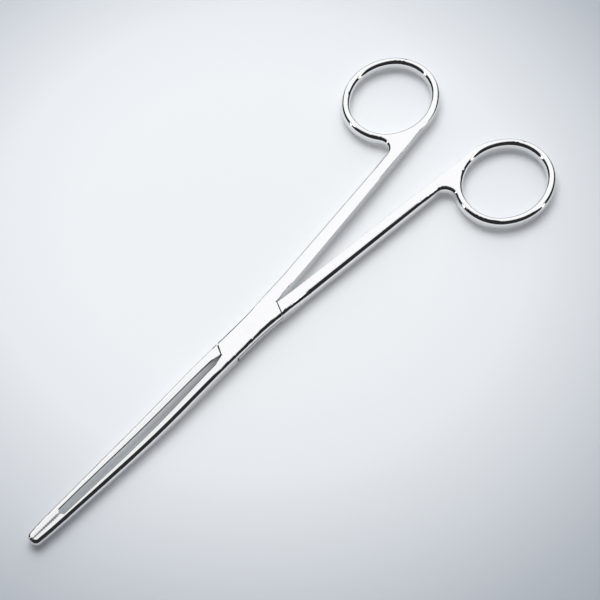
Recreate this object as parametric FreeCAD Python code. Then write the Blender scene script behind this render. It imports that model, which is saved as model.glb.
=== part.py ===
import FreeCAD, Part
import math
import os

from FreeCAD import Vector

# Straight ring-handled dressing forceps with a box lock, lying flat, jaws closed.
# Millimetres. +X runs from the finger rings to the tips, +Z is up.
# The origin is on the hinge axis, in the plane of the lock's underside.

# Thickness of the forging along its length, about one common middle plane
LOCK_THICKNESS = 4.8
SHANK_THICKNESS = 4.0
RING_THICKNESS = 3.4
JAW_THICKNESS = 3.3
TIP_THICKNESS = 2.4
TIP_THINNING = 0.005
THICK_LOCK_END_X = 11.0
SHANK_THICK_X = -20.0
SHANK_THIN_X = -60.0
RING_THICK_X = -72.0

# Box lock: the seams slope from a notch on the centre line to the lock's sides
LOCK_HALF_WIDTH = 3.5
LOCK_CORNER_X = 8.7
NOTCH_X = 10.7
NOTCH_HALF_GAP = 0.15
SEAM_GAP = 0.3
BLADE_THICKNESS = 1.7
SLOT_FACE_CLEARANCE = 0.04
SLOT_END_CLEARANCE = 0.45
SLOT_CORNER_X = 8.3
SLOT_CORNER_Y = 3.1
SLOT_NOTCH_Y = 0.3

# Pivot pin, riveted flush into the two cheeks of the box
PIN_RADIUS = 1.5
PIN_HEAD_RADIUS = 1.9
PIN_RUNNING_CLEARANCE = 0.03

# Shanks
SHANK_LOCK_END_X = -14.0
SHANK_LOCK_END_Y = 4.55
SHANK_RING_END_X = -64.0
SHANK_RING_END_Y = 9.25
SHANK_INNER_END_X = -74.0
SHANK_INNER_END_Y = 6.7
FLARE_RADIUS = 100.0

# Finger rings
RING_X = -83.3
RING_Y = 21.25
RING_OPENING_LONG = 25.8
RING_OPENING_SHORT = 22.2
RING_END_RADIUS = 10.1
RING_WALL = 2.5
RING_TURN = -3.0
RING_NECK_RADIUS = 3.0
RING_JOIN_ANGLE = 272.0

# Jaws: half widths and half gaps along the closed pair, and how far the pair is set over to one side
JAW_ROOT_X = 13.0
JAW_ROOT_HALF_WIDTH = 3.52
JAW_ROOT_HALF_GAP = 0.7
JAW_X = 38.0
JAW_HALF_WIDTH = 3.4
JAW_HALF_GAP = 1.05
JAW_SET_OVER = 0.33
JAW_FRONT_X = 58.0
JAW_FRONT_HALF_WIDTH = 2.9
JAW_FRONT_HALF_GAP = 1.0
JAW_FRONT_SET_OVER = 0.12
JAW_END_SLOPE = 0.12
RELIEF_ROOT_SLOPE = -0.02
RELIEF_END_SLOPE = 0.015
GRIP_X = 70.6
GRIP_STEP = 0.4
GRIP_HALF_WIDTH = 2.5
GRIP_RELIEF_HALF_GAP = 0.85
GRIP_HALF_GAP = 0.3
TIP_X = 81.4
TIP_HALF_WIDTH = 2.0
TIP_ROUND = 1.6
TIP_END_ANGLE = 7.0
TIP_END_SLANT = 0.06
TIP_HALF_GAP = 0.06
TIP_SET_OVER = -0.12

# Serrations across the gripping faces
TOOTH_PITCH = 0.75
TOOTH_WIDTH = 0.6
TOOTH_DEPTH = 0.2
TOOTH_MARGIN = 0.6

# Rounded edges
LOCK_ROUND = 1.05
JAW_ROUND = 1.0
SHANK_ROUND = 1.45
RING_OUTER_ROUND = 1.1
RING_INNER_ROUND = 1.15
INNER_ROUND = 0.25
JAW_INNER_BEVEL = 0.22
SLOT_EDGE_BEVEL = 0.15

MIDDLE_Z = LOCK_THICKNESS / 2
# Cutting blocks run this far past the forging
PAST = 6.0
# Places closer than this are the same place
SAME = 0.001


def line(a, b):
    """Straight edge between two points."""
    return Part.LineSegment(a, b).toShape()


def arc(a, b, c):
    """Round edge from a through b to c."""
    return Part.Arc(a, b, c).toShape()


def smooth(points, leave, arrive):
    """One smooth edge through the points, leaving and arriving in given directions."""
    curve = Part.BSplineCurve()
    curve.interpolate(Points=points, InitialTangent=leave, FinalTangent=arrive)
    return curve.toShape()


def prism(points, low, high):
    """Straight-sided block on a plan outline."""
    face = Part.Face(Part.makePolygon(points + points[:1]))
    face.translate(Vector(0, 0, low))
    return face.extrude(Vector(0, 0, high - low))


# A finger ring is an oval of four arcs: end, side, end, side, with its long way turned by RING_TURN
ring_turn = FreeCAD.Rotation(Vector(0, 0, 1), RING_TURN)
end_offset = RING_OPENING_LONG / 2 - RING_END_RADIUS
half_short = RING_OPENING_SHORT / 2
ring_side_radius = (end_offset ** 2 + half_short ** 2 - RING_END_RADIUS ** 2) / (2 * (half_short - RING_END_RADIUS))
side_offset = ring_side_radius - half_short
corner_angle = math.atan2(side_offset, end_offset)
RING_PARTS = [
    (Vector(end_offset, 0, 0), RING_END_RADIUS, -corner_angle, corner_angle),
    (Vector(0, -side_offset, 0), ring_side_radius, corner_angle, math.pi - corner_angle),
    (Vector(-end_offset, 0, 0), RING_END_RADIUS, math.pi - corner_angle, math.pi + corner_angle),
    (Vector(0, side_offset, 0), ring_side_radius, math.pi + corner_angle, 2 * math.pi - corner_angle),
]


def ring_point(centre, radius, angle):
    """Place on a circle of the ring's outline, in the plan."""
    local = centre + Vector(math.cos(angle), math.sin(angle), 0) * radius
    return Vector(RING_X, RING_Y, 0) + ring_turn.multVec(local)


def ring_arc(index, wall, start=None, end=None):
    """One of the four arcs at the wall's distance from the opening, or the stretch between two angles."""
    centre, radius, first, last = RING_PARTS[index]
    first = first if start is None else start
    last = last if end is None else end
    return arc(*(ring_point(centre, radius + wall, angle) for angle in (first, (first + last) / 2, last)))


# The plan of one half, with its handle on the +Y side and its jaw on the -Y side

notch = Vector(-NOTCH_X, NOTCH_HALF_GAP, 0)
shank_inner = Vector(SHANK_INNER_END_X, SHANK_INNER_END_Y, 0)
shank_ring_end = Vector(SHANK_RING_END_X, SHANK_RING_END_Y, 0)
shank_lock_end = Vector(SHANK_LOCK_END_X, SHANK_LOCK_END_Y, 0)
shank_direction = (shank_lock_end - shank_ring_end).normalize()
shank_normal = Vector(-shank_direction.y, shank_direction.x, 0)


# The neck is an arc that touches the ring's near end and the shank's outer line
near_end = ring_point(RING_PARTS[0][0], 0, 0)
neck_reach = RING_END_RADIUS + RING_WALL + RING_NECK_RADIUS
neck_rise = (near_end - shank_ring_end).dot(shank_normal) - RING_NECK_RADIUS
neck_run = math.sqrt(neck_reach ** 2 - neck_rise ** 2)
neck_middle = near_end - shank_normal * neck_rise + shank_direction * neck_run
neck_ring = near_end + (neck_middle - near_end) * ((RING_END_RADIUS + RING_WALL) / neck_reach)
neck_shank = neck_middle - shank_normal * RING_NECK_RADIUS
neck_bulge = ((neck_ring + neck_shank) * 0.5 - neck_middle).normalize()
neck_through = neck_middle + neck_bulge * RING_NECK_RADIUS
neck_way = neck_middle - near_end
neck_angle = math.atan2(neck_way.y, neck_way.x) - math.radians(RING_TURN)

join_angle = math.radians(RING_JOIN_ANGLE)
inner_touch = ring_point(RING_PARTS[3][0], RING_PARTS[3][1] + RING_WALL, join_angle)
inner_arrive = ring_turn.multVec(Vector(math.sin(join_angle), -math.cos(join_angle), 0))
ring_run = [
    ring_arc(0, RING_WALL, start=neck_angle),
    ring_arc(1, RING_WALL),
    ring_arc(2, RING_WALL),
    ring_arc(3, RING_WALL, end=join_angle),
]
ring_opening = [ring_arc(index, 0) for index in range(4)]

# The shank's outer line bends into the lock's side through a long arc
bend_x = SHANK_LOCK_END_X + (LOCK_HALF_WIDTH - SHANK_LOCK_END_Y) * shank_direction.x / shank_direction.y
bend = Vector(bend_x, LOCK_HALF_WIDTH, 0)
bend_angle = math.atan2(-shank_direction.y, shank_direction.x)
bend_run = FLARE_RADIUS * math.tan(bend_angle / 2)
bend_start = bend - shank_direction * bend_run
bend_end = bend + Vector(bend_run, 0, 0)
bend_rise = FLARE_RADIUS / math.cos(bend_angle / 2) - FLARE_RADIUS
bend_middle = bend + Vector(math.sin(bend_angle / 2), math.cos(bend_angle / 2), 0) * bend_rise

corner_run = bend_end.x + LOCK_CORNER_X
corner_y = LOCK_HALF_WIDTH + FLARE_RADIUS - math.sqrt(FLARE_RADIUS ** 2 - corner_run ** 2)
near_corner = Vector(-LOCK_CORNER_X, -corner_y, 0)
near_notch = Vector(-NOTCH_X, -NOTCH_HALF_GAP, 0)
far_notch = Vector(NOTCH_X, -NOTCH_HALF_GAP, 0)
far_notch_side = Vector(NOTCH_X, NOTCH_HALF_GAP, 0)
far_corner = Vector(LOCK_CORNER_X, LOCK_HALF_WIDTH, 0)
side_end = Vector(LOCK_CORNER_X, -LOCK_HALF_WIDTH, 0)
side_bend = Vector(bend_end.x, -LOCK_HALF_WIDTH, 0)
side_middle = Vector(bend_middle.x, -bend_middle.y, 0)

neck = arc(neck_ring, neck_through, neck_shank)
shank_side = line(neck_shank, bend_start)
flare = arc(bend_start, bend_middle, bend_end)
near_side = line(bend_end, far_corner)
far_side = [line(side_end, side_bend), arc(side_bend, side_middle, near_corner)]
inner_shank = line(notch, shank_inner)
ring_join = smooth([shank_inner, inner_touch], (shank_inner - notch).normalize(), inner_arrive)
lock_ends = [
    line(far_corner, far_notch_side),
    line(far_notch_side, far_notch),
    line(near_corner, near_notch),
    line(near_notch, notch),
]


def jaw_edges(side):
    """The jaw's outer side, its tip, and its inner side; side is which way the pair is set over."""
    over = Vector(0, side, 0)
    outer = [
        side_end,
        Vector(JAW_ROOT_X, -JAW_ROOT_HALF_WIDTH, 0),
        Vector(JAW_X, -JAW_HALF_WIDTH, 0) + over * JAW_SET_OVER,
        Vector(JAW_FRONT_X, -JAW_FRONT_HALF_WIDTH, 0) + over * JAW_FRONT_SET_OVER,
        Vector(GRIP_X, -GRIP_HALF_WIDTH, 0),
        Vector(TIP_X - TIP_ROUND, -TIP_HALF_WIDTH, 0) + over * TIP_SET_OVER,
    ]
    outer_side = smooth(outer, Vector(1, 0, 0), Vector(1, JAW_END_SLOPE, 0))
    heading = outer_side.tangentAt(outer_side.LastParameter)
    normal = Vector(-heading.y, heading.x, 0)
    tip_centre = outer[-1] + normal * TIP_ROUND
    end_angle = math.radians(TIP_END_ANGLE)
    tip_corner = tip_centre + Vector(math.cos(end_angle), -math.sin(end_angle), 0) * TIP_ROUND
    tip_through = tip_centre + (Vector(1, 0, 0) - normal).normalize() * TIP_ROUND
    tip = arc(outer[-1], tip_through, tip_corner)
    tip_inner = Vector(tip_corner.x - TIP_END_SLANT, -TIP_HALF_GAP, 0) + over * TIP_SET_OVER
    step_start = Vector(GRIP_X, -GRIP_RELIEF_HALF_GAP, 0)
    step_end = Vector(GRIP_X + GRIP_STEP, -GRIP_HALF_GAP, 0)
    root = Vector(JAW_ROOT_X, -JAW_ROOT_HALF_GAP, 0)
    inner = [
        root,
        Vector(JAW_X, -JAW_HALF_GAP, 0) + over * JAW_SET_OVER,
        Vector(JAW_FRONT_X, -JAW_FRONT_HALF_GAP, 0) + over * JAW_FRONT_SET_OVER,
        step_start,
    ]
    relief = smooth(inner, Vector(1, RELIEF_ROOT_SLOPE, 0), Vector(1, RELIEF_END_SLOPE, 0))
    closing = [line(far_notch, root), line(step_start, step_end), line(step_end, tip_inner)]
    closing.append(line(tip_corner, tip_inner))
    return outer_side, tip, relief, closing


# The forging seen from its edge: thickest at the lock, thinning to the rings and the tips
ring_end_x = RING_X - RING_OPENING_LONG
profile_points = [
    Vector(SHANK_THIN_X, 0, SHANK_THICKNESS / 2),
    Vector(SHANK_THICK_X, 0, SHANK_THICKNESS / 2),
]
profile = [
    line(Vector(ring_end_x, 0, RING_THICKNESS / 2), Vector(RING_THICK_X, 0, RING_THICKNESS / 2)),
    smooth(
        [Vector(RING_THICK_X, 0, RING_THICKNESS / 2), profile_points[0]],
        Vector(1, 0, 0),
        Vector(1, 0, 0),
    ),
    line(profile_points[0], profile_points[1]),
    smooth(
        [profile_points[1], Vector(-THICK_LOCK_END_X, 0, LOCK_THICKNESS / 2)],
        Vector(1, 0, 0),
        Vector(1, 0, 0),
    ),
    line(Vector(-THICK_LOCK_END_X, 0, LOCK_THICKNESS / 2), Vector(THICK_LOCK_END_X, 0, LOCK_THICKNESS / 2)),
    smooth(
        [
            Vector(THICK_LOCK_END_X, 0, LOCK_THICKNESS / 2),
            Vector(JAW_X, 0, JAW_THICKNESS / 2),
            Vector(TIP_X + PAST, 0, TIP_THICKNESS / 2),
        ],
        Vector(1, 0, 0),
        Vector(1, 0, -TIP_THINNING),
    ),
]
lower = [edge.mirror(Vector(0, 0, 0), Vector(0, 0, 1)) for edge in profile]
ends = [
    line(Vector(ring_end_x, 0, -RING_THICKNESS / 2), Vector(ring_end_x, 0, RING_THICKNESS / 2)),
    line(Vector(TIP_X + PAST, 0, -TIP_THICKNESS / 2), Vector(TIP_X + PAST, 0, TIP_THICKNESS / 2)),
]
side_face = Part.Face(Part.Wire(Part.__sortEdges__(profile + lower + ends)))
side_face.translate(Vector(0, -RING_Y - RING_OPENING_LONG, MIDDLE_Z))
side_block = side_face.extrude(Vector(0, 2 * (RING_Y + RING_OPENING_LONG), 0))


def radius_at(point):
    """How far the outer edges are rounded at a place on the outline."""
    if point.x > bend_end.x:
        return LOCK_ROUND + (JAW_ROUND - LOCK_ROUND) * (point.x - bend_end.x) / (TIP_X - bend_end.x)
    if point.x > bend_start.x:
        return LOCK_ROUND
    if point.x > SHANK_THICK_X:
        along = (bend_start.x - point.x) / (bend_start.x - SHANK_THICK_X)
        return LOCK_ROUND + (SHANK_ROUND - LOCK_ROUND) * along
    if point.x > neck_shank.x - SAME:
        return SHANK_ROUND
    return RING_OUTER_ROUND


def join_radius_at(point):
    """The rounding where the flat inner side of the shank runs into the ring."""
    along = (shank_inner.x - point.x) / (shank_inner.x - inner_touch.x)
    return INNER_ROUND + (RING_OUTER_ROUND - INNER_ROUND) * min(max(along, 0.0), 1.0)


def edges_along(shape, guides):
    """The shape's upper and lower edges that lie over these plan edges."""
    guide = Part.Compound(guides)
    chosen = []
    for edge in shape.Edges:
        middle = edge.valueAt((edge.FirstParameter + edge.LastParameter) / 2)
        rise = edge.valueAt(edge.LastParameter).z - edge.valueAt(edge.FirstParameter).z
        over_guide = Part.Vertex(middle.x, middle.y, 0).distToShape(guide)[0] < SAME
        if over_guide and abs(rise) < SHANK_THICKNESS / 2:
            chosen.append(edge)
    return chosen


def rounded(shape, runs):
    """The shape with its upper and lower edges rounded along each run, by a radius for each place."""
    document = FreeCAD.newDocument()
    base = document.addObject("Part::Feature", "Base")
    base.Shape = shape
    fillet = document.addObject("Part::Fillet", "Rounded")
    fillet.Base = base
    number = {edge.hashCode(): index + 1 for index, edge in enumerate(shape.Edges)}
    rounds = []
    for guides, radius in runs:
        for edge in edges_along(shape, guides):
            first = edge.valueAt(edge.FirstParameter)
            last = edge.valueAt(edge.LastParameter)
            rounds.append((number[edge.hashCode()], radius(first), radius(last)))
    fillet.Edges = rounds
    document.recompute()
    result = fillet.Shape.copy()
    FreeCAD.closeDocument(document.Name)
    return result


def blank_half(side):
    """The forging of one half before the lock is cut, with its handle on the +Y side."""
    outer_side, tip, relief, closing = jaw_edges(side)
    edges = ring_run + [inner_shank, ring_join, neck, shank_side, flare, near_side]
    edges += lock_ends + far_side + [outer_side, tip, relief] + closing
    face = Part.Face(Part.Wire(Part.__sortEdges__(edges)))
    plan_block = face.extrude(Vector(0, 0, LOCK_THICKNESS))
    opening = Part.Face(Part.Wire(ring_opening)).extrude(Vector(0, 0, LOCK_THICKNESS))
    shape = plan_block.cut(opening).common(side_block).removeSplitter()
    outer_run = ring_run + [neck, shank_side, flare, near_side, outer_side, tip] + far_side
    shape = rounded(
        shape,
        [
            (outer_run, radius_at),
            ([ring_join], join_radius_at),
            ([inner_shank], lambda point: INNER_ROUND),
        ],
    )
    shape = rounded(shape, [(ring_opening, lambda point: RING_INNER_ROUND)])
    shape = shape.makeChamfer(JAW_INNER_BEVEL, edges_along(shape, [relief]))
    return serrated(shape, closing[2])


def serrated(shape, grip):
    """Cuts a row of vee grooves across the gripping face, over the whole thickness."""
    start = grip.Vertexes[0].Point
    along = (grip.Vertexes[1].Point - start).normalize()
    normal = Vector(along.y, -along.x, 0)
    run = grip.Length - 2 * TOOTH_MARGIN
    count = int(run / TOOTH_PITCH) + 1
    first = TOOTH_MARGIN + (run - (count - 1) * TOOTH_PITCH) / 2
    for index in range(count):
        root = start + along * (first + index * TOOTH_PITCH)
        back = root - along * (TOOTH_WIDTH / 2)
        front = root + along * (TOOTH_WIDTH / 2)
        clear = normal * -TOOTH_DEPTH
        groove = [root + normal * TOOTH_DEPTH, back, back + clear, front + clear, front]
        shape = shape.cut(prism(groove, 0, LOCK_THICKNESS))
    return shape


def half_turned(points):
    """The same points turned half a turn about the hinge."""
    return [point * -1 for point in points]


def bevelled(shape, heights):
    """The shape with its edges at these heights broken where they lie on the lock's sides."""
    chosen = []
    for edge in shape.Edges:
        first = edge.valueAt(edge.FirstParameter)
        last = edge.valueAt(edge.LastParameter)
        level = min(abs(first.z - height) + abs(last.z - height) for height in heights)
        if level < SAME and min(abs(first.y), abs(last.y)) > LOCK_HALF_WIDTH - SAME:
            chosen.append(edge)
    return shape.makeChamfer(SLOT_EDGE_BEVEL, chosen)


# Slot through the box, open at both ends and at one side of each end
end_wall = [
    Vector(-SLOT_CORNER_X, -LOCK_HALF_WIDTH - PAST, 0),
    Vector(-SLOT_CORNER_X, -SLOT_CORNER_Y, 0),
    Vector(-NOTCH_X, SLOT_NOTCH_Y, 0),
    Vector(-NOTCH_X - PAST, SLOT_NOTCH_Y, 0),
    Vector(-NOTCH_X - PAST, LOCK_HALF_WIDTH + PAST, 0),
]
slot_half_height = BLADE_THICKNESS / 2 + SLOT_FACE_CLEARANCE
slot = prism(end_wall + half_turned(end_wall), MIDDLE_Z - slot_half_height, MIDDLE_Z + slot_half_height)

# What the blade leaves free: its end walls stand off the slot's, and it is thin between the seams
wall_shift = Vector(SLOT_END_CLEARANCE, 0, 0)
blade_end = [
    Vector(-SLOT_CORNER_X, -LOCK_HALF_WIDTH - PAST, 0) + wall_shift,
    Vector(-SLOT_CORNER_X, -SLOT_CORNER_Y, 0) + wall_shift,
    Vector(-NOTCH_X, SLOT_NOTCH_Y, 0) + wall_shift,
    Vector(-NOTCH_X - PAST, SLOT_NOTCH_Y, 0),
    Vector(-NOTCH_X - PAST, -LOCK_HALF_WIDTH - PAST, 0),
]
seam_line = Vector(-LOCK_CORNER_X, corner_y, 0) - notch
seam_direction = Vector(seam_line.x, seam_line.y, 0).normalize()
seam_off = Vector(-seam_direction.y, seam_direction.x, 0) * SEAM_GAP
shoulder_out = Vector(-LOCK_CORNER_X, corner_y, 0) + seam_off + seam_direction * PAST
shoulder_in = notch + seam_off
seam_area = [
    shoulder_out,
    shoulder_in,
    Vector(shoulder_in.x, -LOCK_HALF_WIDTH - PAST, 0),
]
cheek_area = seam_area + half_turned(seam_area)
blade_low = MIDDLE_Z - BLADE_THICKNESS / 2
blade_high = MIDDLE_Z + BLADE_THICKNESS / 2
under = prism(cheek_area, -PAST, blade_low)
over = prism(cheek_area, blade_high, LOCK_THICKNESS + PAST)

hinge = Vector(0, 0, -PAST)
bore = Part.makeCylinder(PIN_RADIUS + PIN_RUNNING_CLEARANCE, LOCK_THICKNESS + 2 * PAST, hinge)

# Pin with countersunk ends
head_depth = PIN_HEAD_RADIUS - PIN_RADIUS
pin = Part.makeCylinder(PIN_RADIUS, LOCK_THICKNESS)
pin = pin.fuse(Part.makeCone(PIN_HEAD_RADIUS, PIN_RADIUS, head_depth))
pin = pin.fuse(
    Part.makeCone(PIN_RADIUS, PIN_HEAD_RADIUS, head_depth, Vector(0, 0, LOCK_THICKNESS - head_depth))
)
pin = pin.removeSplitter()

through_half = blank_half(1).cut(Part.Compound([under, over]))
through_half = through_half.cut(prism(blade_end, -PAST, LOCK_THICKNESS + PAST))
through_half = through_half.cut(prism(half_turned(blade_end), -PAST, LOCK_THICKNESS + PAST))
through_half = through_half.cut(bore).removeSplitter()
through_half = bevelled(through_half, (blade_low, blade_high))

mirror_blank = blank_half(-1).mirror(Vector(0, 0, 0), Vector(0, 1, 0))
box_half = mirror_blank.cut(slot).cut(pin).removeSplitter()
box_half = bevelled(box_half, (MIDDLE_Z - slot_half_height, MIDDLE_Z + slot_half_height))

os.makedirs("parts", exist_ok=True)
for name, shape in (("box_half", box_half), ("through_half", through_half), ("pivot_pin", pin)):
    solid = shape.Solids[0] if len(shape.Solids) == 1 else shape
    solid.exportStep("parts/" + name + ".step")
    print(name, solid.isValid(), len(shape.Solids), round(solid.Volume, 1), len(solid.Faces))
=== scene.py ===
import bpy
import math
from mathutils import Matrix, Vector

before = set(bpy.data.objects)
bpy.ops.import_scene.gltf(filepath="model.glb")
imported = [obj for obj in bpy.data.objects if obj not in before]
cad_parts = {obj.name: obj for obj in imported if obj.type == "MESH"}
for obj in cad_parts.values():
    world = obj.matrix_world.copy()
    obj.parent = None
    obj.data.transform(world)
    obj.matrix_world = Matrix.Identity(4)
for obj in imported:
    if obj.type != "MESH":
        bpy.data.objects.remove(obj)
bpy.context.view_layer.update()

# The side the forceps are seen from: degrees round the table and degrees above it
VIEW_AZIMUTH = 132.0
VIEW_ELEVATION = 61.0

# Directions as the picture shows them: on the table to its right, on the table away from the camera, and up
RIGHT = Vector((math.cos(math.radians(VIEW_AZIMUTH)), math.sin(math.radians(VIEW_AZIMUTH)), 0.0))
FAR = Vector((-RIGHT.y, RIGHT.x, 0.0))
UP = Vector((0.0, 0.0, 1.0))


def aim(far_part, right_part, elevation):
    """A direction from the forceps, from its parts on the table and its height in degrees."""
    flat = (FAR * far_part + RIGHT * right_part).normalized()
    tall = math.radians(elevation)
    return flat * math.cos(tall) + UP * math.sin(tall)


def node(tree, kind, **values):
    """One shader node with its settings."""
    made = tree.nodes.new(kind)
    for name, value in values.items():
        setattr(made, name, value)
    return made


def put(tree, socket, value):
    """Links a socket to another node's output, or sets it to a number, a vector or a colour."""
    if isinstance(value, bpy.types.NodeSocket):
        tree.links.new(value, socket)
    else:
        socket.default_value = value


def step(tree, operation, a, b=0.0, clamp=False):
    """The result of one arithmetic node; a and b are numbers or node outputs."""
    made = node(tree, "ShaderNodeMath", operation=operation, use_clamp=clamp)
    put(tree, made.inputs[0], a)
    put(tree, made.inputs[1], b)
    return made.outputs[0]


# Sockets of a Mix node: its first input and its output, for numbers and for colours
MIX_SOCKETS = {"FLOAT": (2, 0), "RGBA": (6, 2)}


def blend(tree, kind, factor, a, b, clamp=True):
    """Numbers or colours mixed: a at factor 0, b at factor 1."""
    made = node(tree, "ShaderNodeMix", data_type=kind, clamp_factor=clamp)
    first, result = MIX_SOCKETS[kind]
    put(tree, made.inputs[0], factor)
    put(tree, made.inputs[first], a)
    put(tree, made.inputs[first + 1], b)
    return made.outputs[result]


def noise(tree, place, scale, detail):
    """Soft noise over the piece, 0 to 1."""
    made = node(tree, "ShaderNodeTexNoise")
    put(tree, made.inputs["Vector"], place)
    put(tree, made.inputs["Scale"], scale)
    put(tree, made.inputs["Detail"], detail)
    return made.outputs["Fac"]


# Camera: a long lens, a little under half a metre from the lock
CAMERA_SENSOR = 36
CAMERA_LENS = 105
CAMERA_DISTANCE = 0.47925
CAMERA_CLIP = (0.01, 100)
LOOKED_AT = Vector((-0.01745, 0.00264, 0.0))

camera_data = bpy.data.cameras.new("camera")
camera_data.sensor_width = CAMERA_SENSOR
camera_data.lens = CAMERA_LENS
camera_data.clip_start, camera_data.clip_end = CAMERA_CLIP
camera = bpy.data.objects.new("camera", camera_data)
bpy.context.scene.collection.objects.link(camera)
back = aim(-1.0, 0.0, VIEW_ELEVATION)
turn = Matrix((RIGHT, back.cross(RIGHT), back)).transposed().to_4x4()
camera.matrix_world = Matrix.Translation(LOOKED_AT + back * CAMERA_DISTANCE) @ turn
bpy.context.scene.camera = camera


# Steel: polished, with faint clouds in the gloss and slight waves from finishing by hand
POLISHED_GREY = 0.77
POLISHED_ROUGHNESS = 0.055
PIN_GREY = 0.76
PIN_ROUGHNESS = 0.06
CLOUD_SCALE = 90
CLOUD_DETAIL = 3
CLOUD_RANGE = (0.3, 0.7)
CLOUD_GLOSS = (0.8, 1.25)
CLOUD_TINT = 0.97
WAVE_SCALE = 150
WAVE_DETAIL = 1
WAVE_STRENGTH = 0.02
WAVE_HEIGHT = 0.0003

# The faces inside the lock: their colour is painted shade, near black, and their finish is duller. The
# middle and the half sizes of that space, in metres
LOCK_MIDDLE = (0.0, 0.0, 0.0024)
LOCK_INSIDE = (0.0112, 0.0032, 0.0023)
LOCK_PAINTED_SHADE_COLOUR = (0.09, 0.09, 0.093, 1)
UNPOLISHED_ROUGHNESS = 0.45


def lock_shade_and_dull_mask(tree, place):
    """1 on the hidden faces of the lock, which get painted shade and a duller finish, 0 everywhere else."""
    parts = node(tree, "ShaderNodeSeparateXYZ")
    put(tree, parts.inputs[0], place)
    inside = 1.0
    for part, middle, half_size in zip(parts.outputs, LOCK_MIDDLE, LOCK_INSIDE):
        off = step(tree, "ABSOLUTE", step(tree, "SUBTRACT", part, middle))
        inside = step(tree, "MULTIPLY", inside, step(tree, "LESS_THAN", off, half_size))
    return inside


def steel(name, grey, roughness):
    """Polished stainless steel, with painted shade and a duller finish on the faces inside the lock."""
    material = bpy.data.materials.new(name)
    material.use_nodes = True
    tree = material.node_tree
    shader = tree.nodes["Principled BSDF"]
    shader.inputs["Metallic"].default_value = 1.0
    place = node(tree, "ShaderNodeTexCoord").outputs["Object"]
    # inside: the faces inside the lock, which get painted shade and a duller finish
    inside = lock_shade_and_dull_mask(tree, place)
    cloud = noise(tree, place, CLOUD_SCALE, CLOUD_DETAIL)
    gloss = node(tree, "ShaderNodeMapRange")
    put(tree, gloss.inputs["Value"], cloud)
    put(tree, gloss.inputs["From Min"], CLOUD_RANGE[0])
    put(tree, gloss.inputs["From Max"], CLOUD_RANGE[1])
    put(tree, gloss.inputs["To Min"], roughness * CLOUD_GLOSS[0])
    put(tree, gloss.inputs["To Max"], roughness * CLOUD_GLOSS[1])
    finish = blend(tree, "FLOAT", inside, gloss.outputs["Result"], UNPOLISHED_ROUGHNESS)
    put(tree, shader.inputs["Roughness"], finish)
    darker = (grey * CLOUD_TINT,) * 3 + (1,)
    tint = blend(tree, "RGBA", cloud, darker, (grey, grey, grey, 1))
    # Painted shade: the hidden faces inside the lock take a near black colour in place of the shade in the
    # lock's gaps
    put(tree, shader.inputs["Base Color"], blend(tree, "RGBA", inside, tint, LOCK_PAINTED_SHADE_COLOUR))
    bump = node(tree, "ShaderNodeBump")
    put(tree, bump.inputs["Strength"], WAVE_STRENGTH)
    put(tree, bump.inputs["Distance"], WAVE_HEIGHT)
    put(tree, bump.inputs["Height"], noise(tree, place, WAVE_SCALE, WAVE_DETAIL))
    put(tree, shader.inputs["Normal"], bump.outputs["Normal"])
    return material


polished = steel("polished_steel", POLISHED_GREY, POLISHED_ROUGHNESS)
pin_steel = steel("pin_steel", PIN_GREY, PIN_ROUGHNESS)
for piece, material in (("box_half", polished), ("through_half", polished), ("pivot_pin", pin_steel)):
    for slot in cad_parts[piece].material_slots:
        slot.material = material


# Table: pale, with a painted pool of light in its colour, brightest behind the lock and falling off on
# every side, a little more so in red. Levels are as the picture shows them, where white is WHITE_LEVEL, and
# distances are in units of LIT_UNIT
TABLE_SIZE = 6
LIT_CENTRE = (-0.0275, -0.0216, 0.0)
LIT_UNIT = 0.084
LIT_TOP = (262.0, 264.5, 267.0)
LIT_DROP = (34.5, 33.0, 31.0)
LIT_LIMIT = (240.0, 243.5, 246.5)
LIT_LEAST = (158.0, 166.0, 175.0)
LIT_END = 2.1
LIT_STOPS = 8
WHITE_LEVEL = 255
DISPLAY_GAMMA = 2.2
TABLE_LEVEL = 0.895
TABLE_GLOW = 0.16
MIRRORED_GLOW = 0.26


def table_colour(reach):
    """The table's colour, with its painted pool of light, at a distance from its brightest place."""
    fading = [top - drop * reach**2 for top, drop in zip(LIT_TOP, LIT_DROP)]
    shown = [max(min(value, limit), least) for value, limit, least in zip(fading, LIT_LIMIT, LIT_LEAST)]
    return [TABLE_LEVEL * (value / WHITE_LEVEL) ** DISPLAY_GAMMA for value in shown] + [1]


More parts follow.
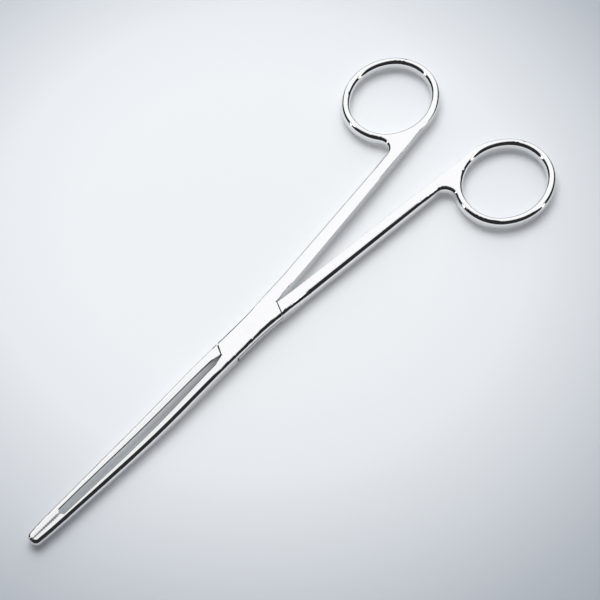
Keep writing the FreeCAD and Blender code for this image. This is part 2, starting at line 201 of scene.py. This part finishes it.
def table_finish():
    """Matt and pale, with a painted pool of light in its colour and a little glow where it is seen directly
    or mirrored in the steel.
    """
    material = bpy.data.materials.new("table")
    material.use_nodes = True
    tree = material.node_tree
    tree.nodes.clear()
    reach = node(tree, "ShaderNodeVectorMath", operation="DISTANCE")
    put(tree, reach.inputs[0], node(tree, "ShaderNodeTexCoord").outputs["Object"])
    put(tree, reach.inputs[1], LIT_CENTRE)
    # Painted pool of light: the colour ramp makes the table brightest at LIT_CENTRE and darker further away
    painted_pool = node(tree, "ShaderNodeValToRGB")
    stops = painted_pool.color_ramp.elements
    while len(stops) < LIT_STOPS:
        stops.new(0.5)
    for index in range(LIT_STOPS):
        share = index / (LIT_STOPS - 1)
        stops[index].position = share
        stops[index].color = table_colour(LIT_END * share)
    put(tree, painted_pool.inputs["Fac"], step(tree, "DIVIDE", reach.outputs["Value"], LIT_UNIT * LIT_END))
    matt = node(tree, "ShaderNodeBsdfDiffuse")
    put(tree, matt.inputs["Color"], painted_pool.outputs["Color"])
    path = node(tree, "ShaderNodeLightPath")
    seen = step(tree, "MULTIPLY", path.outputs["Is Camera Ray"], TABLE_GLOW)
    mirrored = step(tree, "MULTIPLY", path.outputs["Is Glossy Ray"], MIRRORED_GLOW)
    glow = node(tree, "ShaderNodeEmission")
    put(tree, glow.inputs["Color"], painted_pool.outputs["Color"])
    put(tree, glow.inputs["Strength"], step(tree, "MAXIMUM", seen, mirrored))
    both = node(tree, "ShaderNodeAddShader")
    put(tree, both.inputs[0], matt.outputs[0])
    put(tree, both.inputs[1], glow.outputs[0])
    put(tree, node(tree, "ShaderNodeOutputMaterial").inputs["Surface"], both.outputs[0])
    return material


bpy.ops.mesh.primitive_plane_add(size=TABLE_SIZE, location=(0, 0, 0))
table = bpy.context.active_object
table.name = "table"
table.data.materials.append(table_finish())


# Room: a square white screen leans over the table from behind and dims a little towards its top. A narrow
# slanting lamp stands at each side, and the rest is dark
SCREEN_WAY = aim(1.0, 0.0, 45.0)
SCREEN_UP = (UP - SCREEN_WAY * UP.dot(SCREEN_WAY)).normalized()
SCREEN_HALF_HEIGHT = math.tan(math.radians(35))
SCREEN_HALF_WIDTH = math.tan(math.radians(39))
SCREEN_SIDE_EDGE = 0.08
SCREEN_LIGHT = (1.27, 1.27, 1.285, 1)
SCREEN_TOP_START = math.sin(math.radians(62))
SCREEN_TOP_FADE = 2.8
SCREEN_LEAST = 0.8
ROOM_DARK = (0.030, 0.030, 0.032, 1)
STRIP_SLANT = (-0.939, -0.234, 0.251)
STRIP_HALF_WIDTH = 0.055
STRIP_TOP = 0.89
STRIP_LIGHT = 1.5
EDGE = 0.02
JUST_AHEAD = 0.001


def along(tree, looked, way):
    """How far the looked-at direction goes along a given one."""
    made = node(tree, "ShaderNodeVectorMath", operation="DOT_PRODUCT")
    put(tree, made.inputs[0], looked)
    put(tree, made.inputs[1], way)
    return made.outputs["Value"]


def within(tree, value, half_width, softness):
    """1 where the value lies within the half width of zero, 0 outside, with a soft edge."""
    inside = step(tree, "SUBTRACT", half_width, step(tree, "ABSOLUTE", value))
    return step(tree, "DIVIDE", inside, softness, clamp=True)


def screen(tree, looked):
    """The screen's light in the looked-at direction."""
    ahead = step(tree, "MAXIMUM", along(tree, looked, SCREEN_WAY), JUST_AHEAD)
    sideways = step(tree, "DIVIDE", along(tree, looked, RIGHT), ahead)
    upwards = step(tree, "DIVIDE", along(tree, looked, SCREEN_UP), ahead)
    across = within(tree, sideways, SCREEN_HALF_WIDTH, SCREEN_SIDE_EDGE)
    tall = within(tree, upwards, SCREEN_HALF_HEIGHT, EDGE)
    above = step(tree, "SUBTRACT", along(tree, looked, UP), SCREEN_TOP_START)
    loss = step(tree, "MULTIPLY", step(tree, "MAXIMUM", above, 0.0), SCREEN_TOP_FADE)
    level = step(tree, "MAXIMUM", step(tree, "SUBTRACT", 1.0, loss), SCREEN_LEAST)
    return step(tree, "MULTIPLY", step(tree, "MULTIPLY", across, tall), level)


def side_strip(tree, looked, side):
    """The light of the narrow lamp on one side, -1 or 1, in the looked-at direction."""
    away, sideways, upwards = STRIP_SLANT
    slant = (FAR * away + RIGHT * (sideways * side) + UP * upwards).normalized()
    strip = within(tree, along(tree, looked, slant), STRIP_HALF_WIDTH, EDGE)
    this_side = step(tree, "GREATER_THAN", along(tree, looked, RIGHT * side), 0.0)
    under_top = step(tree, "SUBTRACT", STRIP_TOP, along(tree, looked, UP))
    low = step(tree, "DIVIDE", under_top, EDGE, clamp=True)
    lit = step(tree, "MULTIPLY", low, STRIP_LIGHT)
    return step(tree, "MULTIPLY", step(tree, "MULTIPLY", strip, this_side), lit)


room = bpy.data.worlds.new("room")
bpy.context.scene.world = room
room.use_nodes = True
tree = room.node_tree
tree.nodes.clear()
looked = node(tree, "ShaderNodeTexCoord").outputs["Generated"]
light = screen(tree, looked)
for side in (-1, 1):
    light = step(tree, "ADD", light, side_strip(tree, looked, side))
sky = node(tree, "ShaderNodeBackground")
put(tree, sky.inputs["Color"], blend(tree, "RGBA", light, ROOM_DARK, SCREEN_LIGHT, clamp=False))
put(tree, node(tree, "ShaderNodeOutputWorld").inputs["Surface"], sky.outputs[0])


# Soft lamp overhead for the table, which the steel doesn't mirror
OVERHEAD_WAY = aim(1.0, -0.25, 66.0)
OVERHEAD_DISTANCE = 1.2
OVERHEAD_SIZE = 0.9
OVERHEAD_POWER = 9.0

lamp_data = bpy.data.lights.new("overhead", "AREA")
lamp_data.shape = "SQUARE"
lamp_data.size = OVERHEAD_SIZE
lamp_data.energy = OVERHEAD_POWER
overhead = bpy.data.objects.new("overhead", lamp_data)
bpy.context.scene.collection.objects.link(overhead)
overhead.location = OVERHEAD_WAY * OVERHEAD_DISTANCE
overhead.rotation_mode = "QUATERNION"
overhead.rotation_quaternion = (-OVERHEAD_WAY).to_track_quat("-Z", "Y")
overhead.visible_glossy = False

bpy.context.scene.view_settings.view_transform = "Standard"
